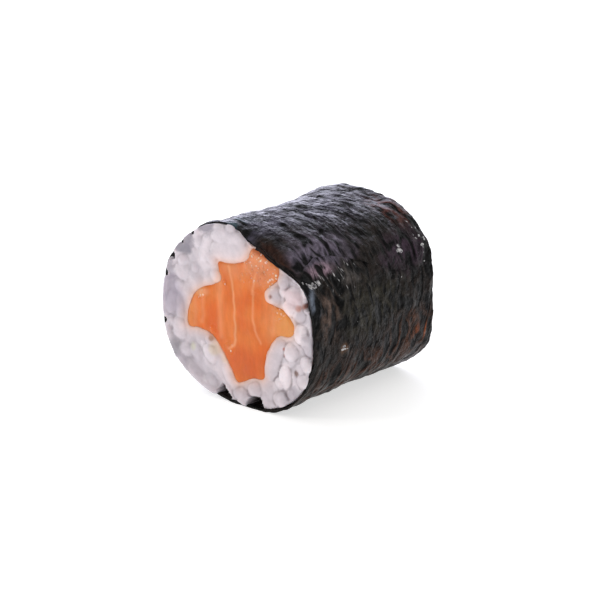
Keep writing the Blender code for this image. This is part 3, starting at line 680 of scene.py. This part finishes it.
def fillCut(side, given, gaps, draw):
    # the given grains, then one after another wherever the most room is left between them
    low = -roll["radius"] - 1
    ticks = np.arange(low, -low, rice["roomStep"])
    points = np.stack([place.ravel() for place in np.meshgrid(ticks, ticks, indexing="ij")], axis=-1)
    turns = angleOf(points[:, 0], points[:, 1])
    angles = np.arange(0, 361, 4)
    wall = wallPoint(angles, side * halfLength, fillingDepth(angles, side * halfLength))
    toNori = np.interp(turns, angles, np.hypot(wall[:, 0], wall[:, 2])) - np.linalg.norm(points, axis=1)
    toNori = toNori + rice["wallOverlap"]
    toSalmon = distanceToOutline(salmonSection(side * halfLength)[::4], points) + rice["overSalmon"]
    free = np.minimum(toNori, toSalmon)
    for x, z, radius in gaps:
        free = np.minimum(free, np.linalg.norm(points - (x, z), axis=1) - radius)
    room = free.copy()
    grains = []

    def addGrain(grain, room):
        grains.append(grain)
        for centre, radius in zip(*grainDiscs(grain)):
            room = np.minimum(room, np.linalg.norm(points - centre, axis=1) - radius + rice["fuse"])
        return room

    for grain in given:
        room = addGrain(grain, room)
    while len(grains) < rice["mostGrains"] and room.max() > rice["slimmest"] / 2:
        nearest = room.argmax()
        x, z = points[nearest]
        width = min(2 * free[nearest], rice["grainWidth"] * draw.uniform(0.85, 1.12))
        best, most = (x, z, width, width, 0), -1
        lengths = np.arange(rice["grainLength"], width, -0.6)
        for length, tilt in itertools.product(lengths, range(0, 180, 15)):
            centres, radii = grainDiscs((x, z, length, width * 0.96, tilt))
            cells = np.clip(np.rint((centres - low) / rice["roomStep"]).astype(int), 0, len(ticks) - 1)
            cells = cells[:, 0] * len(ticks) + cells[:, 1]
            if (free[cells] >= radii).all() and length + room[cells].sum() > most:
                best, most = (x, z, length, width, tilt), length + room[cells].sum()
        lift = rice["behind"] if given else rice["proud"]
        room = addGrain(best + (lift * draw.uniform(0.3, 1.2), draw.uniform(0.25, 0.7)), room)
    return grains


def cookedRice():
    # cooked short-grain rice: moist, cloudy white starch that light passes into
    made, add = newMaterial("cookedRice")
    place = add("TexCoord").outputs["Object"]
    tint = add("Attribute", attribute_name="tint").outputs["Vector"]
    cloudy = add(
        "TexNoise", {"Vector": place, "Scale": 1 / (rice["cloud"] * mm), "Detail": 4.0, "Roughness": 0.6})
    shade = add("MapRange", (cloudy, 0.35, 0.65, 0.91, 1.05))
    colour = add("VectorMath", {0: tint, "Scale": shade}, operation="SCALE")
    skin = add(
        "TexNoise",
        {"Vector": place, "Scale": 1 / (rice["skinGrain"] * mm), "Detail": 3.0, "Roughness": 0.55})
    normal = add("Bump", {"Height": skin, "Strength": 0.3, "Distance": rice["skinGrainDepth"] * mm})
    shader = add(
        "BsdfPrincipled",
        {"Base Color": colour, "Roughness": rice["roughness"], "Normal": normal, "IOR": 1.4,
         "Subsurface Weight": 0.6, "Subsurface Radius": (1.0, 0.85, 0.8),
         "Subsurface Scale": rice["lightReach"] * mm, "Coat Weight": rice["coat"],
         "Coat Roughness": 0.2})
    add("OutputMaterial", {"Surface": shader})
    return made


def pressed(points):
    # grains give way to the sheet round them, to the knife's plane and to the floor
    x, y, z = points.T
    beyond = np.abs(y) - halfLength - rice["flatAt"]
    atRim = ease((np.hypot(x, z) - roll["radius"] + 3.5) / 3)
    kept = rice["flatness"] + ease((2 - x) / 6) * (rice["leftFlatness"] - rice["flatness"])
    kept = kept + atRim * (rice["rimFlatness"] - kept)
    y = np.where(beyond > 0, np.sign(y) * (halfLength + rice["flatAt"] + beyond * kept), y)
    y = np.sign(y) * np.maximum(np.abs(y), halfLength - rice["skinDepth"])
    angles = angleOf(x, z)
    along = np.clip(y, -halfLength, halfLength)
    outside = np.clip((np.abs(y) - halfLength) / 0.3, 0, 1)
    wall = wallPoint(angles, along, fillingDepth(angles, along) + 0.04 - outside * 0.42)
    limit = np.hypot(wall[:, 0], wall[:, 2]) / np.maximum(np.hypot(x, z), 1e-6)
    share = np.minimum(1, limit)
    return joined(x * share, y, z * share)


def riceTube(start, stop, shownSide=0):
    # pressed rice between the salmon and the sheet, from one place along the roll to another
    angles = np.arange(0, 360, 1.0)
    passage, wall = [], []
    for along in np.linspace(start, stop, max(3, round((stop - start) / rice["tubeStep"]))):
        ring = salmonSection(along, grow=rice["overFish"])
        spokes = ring - salmon["middle"]
        turns = np.arctan2(spokes[:, 0], spokes[:, 1])
        sheet = wallPoint(angles, along, fillingDepth(angles, along) + 0.06)[:, [0, 2]] - salmon["middle"]
        sheetTurns = np.arctan2(sheet[:, 0], sheet[:, 1])
        order = np.argsort(sheetTurns)
        reach = np.interp(
            turns, sheetTurns[order], np.linalg.norm(sheet, axis=1)[order], period=2 * np.pi)[:, None]
        rim = np.array(salmon["middle"]) + spokes / np.linalg.norm(spokes, axis=1, keepdims=True) * reach
        passage.append(joined(ring[:, 0], along, ring[:, 1]))
        wall.append(joined(rim[:, 0], along, rim[:, 1]))
    lids = []
    for at, side in ((0, -1), (-1, 1)):
        shares = np.linspace(0, 1, 30)
        across = [passage[at] + (wall[at] - passage[at]) * share for share in shares]
        for ring, share in zip(across, shares) if side == shownSide else ():
            turns = angleOf(ring[:, 0], ring[:, 2])
            lip = ease((turns - rice["lipFrom"]) / rice["lipEase"])
            lip = lip * ease((rice["lipTo"] - turns) / rice["lipEase"])
            lip = lip * ease((share - 0.8) / 0.15)
            if share == 1:
                far = np.hypot(ring[:, 0], ring[:, 2])
                ring[:, [0, 2]] *= (1 + rice["lipReach"] * lip / far)[:, None]
            dip = rice["starchDip"] * hills(ring, 1.4, 50) - lip * rice["lipRise"]
            ring[:, 1] -= side * dip
        lids.append(across)
    rings = lids[0] + wall[1:-1] + lids[1][::-1] + passage[1:-1][::-1]
    points = np.concatenate(rings)
    return points, np.array(gridFaces(len(rings) + 1, salmon["around"], closed=True)) % len(points)


def fusedSkin(parts):
    # one soft skin round grains that stick together
    counts = np.cumsum([0] + [len(points) for points, _ in parts])
    mesh = bpy.data.meshes.new("looseRice")
    faces = np.concatenate([faces + first for (_, faces), first in zip(parts, counts)])
    mesh.from_pydata(np.concatenate([points for points, _ in parts]).tolist(), [], faces.tolist())
    loose = addObject("looseRice", mesh)
    remesh = loose.modifiers.new("skin", "REMESH")
    remesh.mode = "VOXEL"
    remesh.voxel_size = rice["voxel"]
    smooth = loose.modifiers.new("softening", "SMOOTH")
    smooth.iterations = rice["softening"]
    skin = bpy.data.meshes.new_from_object(loose.evaluated_get(bpy.context.evaluated_depsgraph_get()))
    points = np.empty(len(skin.vertices) * 3)
    skin.vertices.foreach_get("co", points)
    faces = [tuple(face.vertices) for face in skin.polygons]
    bpy.data.objects.remove(loose)
    for used in (mesh, skin):
        bpy.data.meshes.remove(used)
    return points.reshape(-1, 3), faces


def sunken(points, faces):
    # how far each point of the two cuts lies under those round it
    out = np.abs(points[:, 1])
    quads = np.array([face for face in faces if len(face) == 4])
    ends = np.concatenate([quads[:, [0, 1]], quads[:, [1, 2]], quads[:, [2, 3]], quads[:, [3, 0]]])
    counts = np.maximum(np.bincount(ends[:, 0], minlength=len(out)), 1)
    sunk = np.bincount(ends[:, 0], out[ends[:, 1]], len(out)) / counts - out
    for _ in range(2):
        sunk = (sunk + np.bincount(ends[:, 0], sunk[ends[:, 1]], len(out)) / counts) / 2
    return sunk


def makeRice():
    material = cookedRice()
    draw = random.Random(11)
    steps = -np.cos(np.pi * np.linspace(0, 1, rice["rings"] + 1))
    phase = np.linspace(0, 2 * np.pi, rice["segments"], endpoint=False)
    s, turn = np.meshgrid(steps, phase, indexing="ij")
    girth = np.maximum(1 - np.abs(s) ** rice["blunt"], 0) ** (1 / rice["round"])
    section = np.abs(np.cos(turn)) ** rice["boxy"] + np.abs(np.sin(turn)) ** rice["boxy"]
    girth = girth / section ** (1 / rice["boxy"])
    place, reach, depth = rice["nick"]
    girth = girth * (1 - depth * np.exp(-(((s - place) / reach) ** 2)) * np.maximum(np.cos(turn - 0.8), 0))
    body = joined(s, girth * np.cos(turn), girth * np.sin(turn))
    grainFaces = np.array(gridFaces(*s.shape, closed=True))
    parts, tones = [], []
    for side, given, gaps in ((-1, rice["shownGrains"], rice["gaps"]), (1, (), ())):
        for x, z, shown, width, tilt, proud, tone in fillCut(side, given, gaps, draw):
            width *= rice["wider"]
            atRim = ease((math.hypot(x, z) + width / 2 - roll["radius"] + 1.6) / 1.2)
            proud += rice["rimProud"] * atRim * ease((2 - x) / 4)
            length = max(rice["grainLength"] * width / rice["grainWidth"], shown)
            dip = math.acos(shown / length)
            depth = math.hypot(length / 2 * math.sin(dip), width / 2 * math.cos(dip))
            move = (
                Matrix.Translation((x, side * (halfLength + proud - depth), z))
                @ Matrix.Rotation(math.radians(-tilt), 4, "Y")
                @ Matrix.Rotation(dip * draw.choice((-1, 1)), 4, "Z")
            )
            grain = body.reshape(-1, 3) * (length / 2, width / 2 * rice["thickness"], width / 2)
            grain[:, 2] += rice["bend"] * width * (1 - (grain[:, 0] * 2 / length) ** 2)
            swell = 1 + rice["uneven"] * hills(grain + 9.7 * len(parts), 1.7, 40)
            grain[:, 1:] *= swell[:, None]
            grain = grain @ np.array(move.to_3x3()).T + np.array(move.translation)
            parts.append((pressed(grain), grainFaces))
            tones.append(tone)
    tree = KDTree(len(parts) * s.size)
    for number, (points, _) in enumerate(parts):
        for place, point in enumerate(points):
            tree.insert(point, number * s.size + place)
    tree.balance()
    shownEnd, skinEnd = halfLength - rice["starchInset"], halfLength - rice["skinDepth"]
    parts += [riceTube(-shownEnd, -skinEnd, -1), riceTube(skinEnd, shownEnd, 1)]
    points, faces = fusedSkin(parts)
    tone = np.array([
        np.mean([tones[found[1] // s.size] for found in tree.find_n(point, 4)]) for point in points])
    tint = blend(rice["grey"], rice["white"], tone)
    # painted shade in the seams between grains, where a point lies under its neighbours
    toRight = ease((points[:, 0] + 4) / 8)
    seamShading = rice["seamLeft"] + (rice["seamRight"] - rice["seamLeft"]) * toRight
    tint = blend(tint, rice["paintedSeamShade"], seamShading * ease(sunken(points, faces) / rice["seamDepth"]))
    for x, z, radius in rice["gaps"]:
        ragged = radius * (1 + rice["gapRagged"] * hills(points, 0.9, 52))
        hollow = ease(1 - (np.hypot(points[:, 0] - x, points[:, 2] - z) - ragged) / rice["gapSlope"])
        hollow = hollow * (points[:, 1] < 0)
        deep = np.clip((points[:, 1] + halfLength) / rice["skinDepth"], 0, 1)
        points[:, 1] += rice["gapDepth"] * hollow * (1 - deep)
        # painted shade deep in the hollow
        tint = blend(tint, rice["paintedGapShade"], ease(1.8 * hollow - 0.5))
    for x, z, radius, colour, strength in rice["specksAndShade"]:
        away = np.hypot(points[:, 0] - x, points[:, 2] - z) / radius
        away = away + 0.4 * hills(points, radius + 0.2, 51)
        tint = blend(tint, colour, strength * ease(1.5 - away) * (points[:, 1] < 0))
    for side in (-1, 1):
        away = distanceToOutline(salmonSection(side * halfLength)[::3], points[:, [0, 2]])
        share = rice["blushStrength"] * np.exp(-np.maximum(away, 0) / rice["blushReach"])
        tint = blend(tint, rice["blush"], share * (points[:, 1] * side > 0))
    addPiece("riceGrains", points, faces, material, {"tint": tint}, replaced="rice")
    points, faces = riceTube(-skinEnd - 0.5, skinEnd + 0.5)
    tint = np.tile(linear(rice["white"])[:3], (len(points), 1))
    addPiece("riceCore", points, faces.tolist(), material, {"tint": tint}, replaced="rice")


flecks = {
    # pale flecks on the sheet, partly dried starch and partly painted glints on its wet crinkles: angle,
    # distance from the shown cut, spread round and along, how many flecks, their size, how far they are
    # drawn out round the roll
    "patches": (
        (57.9, 20.4, 0.3, 0.3, 4, 0.34, 1), (56, 25.3, 1.3, 0.4, 9, 0.3, 0.9),
        (47, 24.8, 1, 0.5, 4, 0.16, 1.2), (60.2, 1.5, 0.35, 0.6, 7, 0.38, 1.3),
        (103.2, 6.4, 0.15, 0.45, 5, 0.24, 0.7), (58.5, 7.2, 1, 0.9, 6, 0.2, 2.9),
        (62.5, 9.6, 1.1, 1.5, 9, 0.19, 3), (61, 4.2, 0.9, 0.8, 4, 0.22, 2.4),
        (70, 6, 1.2, 1.4, 5, 0.09, 1.8), (92, 9.6, 2, 2, 4, 0.09, 1.5),
        (66, 17, 2, 2.5, 5, 0.1, 1.4), (231, 9, 0.9, 0.7, 4, 0.2, 1),
        (274, 20.4, 1.2, 1.6, 7, 0.14, 1.2), (300, 6.2, 0.8, 0.5, 3, 0.18, 1),
    ),
    "height": 0.3,  # of the size
    "ragged": 0.6, "sunk": 0.05,  # uneven outline, and mm that the edge lies in the sheet
    "rings": 6, "segments": 12,
    # the pale colour stands partly for painted glints
    "dull": "#58555a", "colour": "#c9c7c7",
    "crust": 0.4, "crustDepth": 0.08,  # mm across a scale
    "roughness": 0.25,
}


def driedStarchAndPaintedGlints():
    # starch dried on in thin glassy scales, pale enough to stand in for painted glints
    made, add = newMaterial("driedStarchAndPaintedGlints")
    place = add("TexCoord").outputs["Object"]
    fine = add("TexNoise", {"Vector": place, "Scale": 1 / (flecks["crust"] * mm), "Detail": 3.0})
    crust = add("MapRange", (fine, 0.38, 0.62))
    colour = add("Mix", {0: crust, 6: flecks["dull"], 7: flecks["colour"]}, data_type="RGBA").outputs[2]
    normal = add("Bump", {"Height": crust, "Strength": 0.6, "Distance": flecks["crustDepth"] * mm})
    shader = add(
        "BsdfPrincipled",
        {"Base Color": colour, "Roughness": flecks["roughness"], "Normal": normal, "IOR": 1.45})
    add("OutputMaterial", {"Surface": shader})
    return made


def makeFlecks():
    # low domes with ragged edges, sunk a little into the sheet
    rings, segments = flecks["rings"], flecks["segments"]
    shares, turns = np.meshgrid(
        np.linspace(0, 1, rings), np.linspace(0, 2 * np.pi, segments, endpoint=False), indexing="ij")
    faces = np.array(gridFaces(rings, segments, closed=True))
    points, quads = [], []
    draw = random.Random(5)
    for angle, ahead, spreadRound, spreadAlong, count, size, drawn in flecks["patches"]:
        for _ in range(count):
            number = len(quads)
            reach = size * draw.uniform(0.5, 1.15)
            lean = draw.uniform(-0.5, 0.5)
            circle = joined(np.cos(turns), np.sin(turns), 3.3 * number)
            outline = 1 + flecks["ragged"] * hills(circle, 0.7, 71)
            across = reach * drawn * outline * shares * np.cos(turns)
            places = ahead - halfLength + draw.gauss(0, spreadAlong)
            places = places + reach / drawn * outline * shares * np.sin(turns) + lean * across
            edge = flapEdge(places)
            wound = angle + np.degrees((draw.gauss(0, spreadRound) + across) / roll["radius"])
            wound = wound + np.where(angle < edge, 360, 0)
            sunk, relief, _ = sheetLie(wound, places, edge)
            dome = size * flecks["height"] * np.sqrt(1 - shares**2) - flecks["sunk"] * shares
            points.append(wallPoint(wound, places, sunk, relief + dome).reshape(-1, 3))
            points.append(wallPoint(wound, places, sunk, relief - flecks["sunk"]).reshape(-1, 3))
            first = number * shares.size
            quads.append(faces + first)
            quads.append(faces[:, ::-1] + first + shares.size)
    quads = np.concatenate(quads).tolist()
    addPiece("starchFlecksAndPaintedGlints", np.concatenate(points), quads, driedStarchAndPaintedGlints())


studio = {
    "floor": "#d2d2d2", "glow": 0.62, "reach": 4.0,  # metres from the middle
    "tooth": 1.111, "toothDepth": 0.1,  # mm across a dimple in it, how deep
    # the tent of light round the table, brightest behind on the left
    "tent": "#ffffff", "tentTowards": (-0.75, 0.5, 0.45), "tentLow": 0.42, "tentHigh": 1.1,
    # where each lamp stands, its width, its power and its colour, in metres and watts
    "lamps": (
        ("backLamp", (-0.27, 0.30, 0.17), 0.36, 1.3, "#e4e4ff"),
        ("keyLamp", (-0.22, -0.34, 0.26), 0.10, 0.28, "#fffaf4"),
        ("fillLamp", (0.30, -0.30, 0.36), 0.30, 0.28, "#fffaf4"),
    ),
    "azimuth": 40.02, "elevation": 16.42, "distance": 300.0,
    "aside": -0.315, "above": -0.408,  # the camera stands a little off the line to the roll's middle
    "lens": 130.2,
}


def makeStudio():
    scene = bpy.context.scene
    scene.view_settings.view_transform = "Standard"
    # opal acrylic, lit from below, so that hardly a shadow shows
    acrylic, add = newMaterial("opalAcrylic")
    place = add("TexCoord").outputs["Object"]
    tooth = add("TexNoise", {"Vector": place, "Scale": 1 / (studio["tooth"] * mm)})
    normal = add("Bump", {"Height": tooth, "Strength": 0.05, "Distance": studio["toothDepth"] * mm})
    shader = add(
        "BsdfPrincipled",
        {"Base Color": studio["floor"], "Roughness": 0.9, "Normal": normal, "Specular IOR Level": 0.1,
         "Emission Color": studio["tent"], "Emission Strength": studio["glow"]})
    add("OutputMaterial", {"Surface": shader})
    mesh = bpy.data.meshes.new("floor")
    far = studio["reach"]
    mesh.from_pydata([(-far, -far, 0), (far, -far, 0), (far, far, 0), (-far, far, 0)], [], [(0, 1, 2, 3)])
    mesh.materials.append(acrylic)
    floor = addObject("floor", mesh)
    world = bpy.data.worlds.new("studio")
    scene.world = world
    world.use_nodes = True
    world.node_tree.nodes.clear()
    add = functools.partial(addNode, world.node_tree)
    ways = add("TexCoord").outputs["Generated"]
    towards = Vector(studio["tentTowards"]).normalized()
    facing = add("VectorMath", (ways, towards), operation="DOT_PRODUCT").outputs["Value"]
    strength = add(
        "MapRange", (facing, -0.2, 0.9, studio["tentLow"], studio["tentHigh"]),
        interpolation_type="SMOOTHSTEP")
    tent = add("Background", {"Color": studio["tent"], "Strength": strength})
    add("OutputWorld", {"Surface": tent})
    target = Vector((roll["axisShift"], 0, roll["axisHeight"])) * mm
    for name, spot, width, power, colour in studio["lamps"]:
        lamp = bpy.data.lights.new(name, "AREA")
        lamp.shape = "DISK"
        lamp.size = width
        lamp.energy = power
        lamp.color = linear(colour)[:3]
        light = addObject(name, lamp)
        light.location = spot
        light.rotation_euler = (target - light.location).to_track_quat("-Z", "Y").to_euler()
    turn, rise = math.radians(studio["azimuth"]), math.radians(studio["elevation"])
    back = Vector((math.sin(turn) * math.cos(rise), -math.cos(turn) * math.cos(rise), math.sin(rise)))
    right = Vector((math.cos(turn), math.sin(turn), 0))
    up = back.cross(right)
    lens = bpy.data.cameras.new("camera")
    lens.sensor_width = 36
    lens.lens = studio["lens"]
    lens.clip_start = 0.01
    camera = addObject("camera", lens)
    away = back * studio["distance"] + right * studio["aside"] + up * studio["above"]
    camera.location = target + away * mm
    camera.rotation_euler = Matrix((right, up, back)).transposed().to_euler()
    scene.camera = camera
    print("studio ready")


makeStudio()
makeNori()
makeSalmon()
makeRice()
makeFlecks()

bpy.context.view_layer.update()
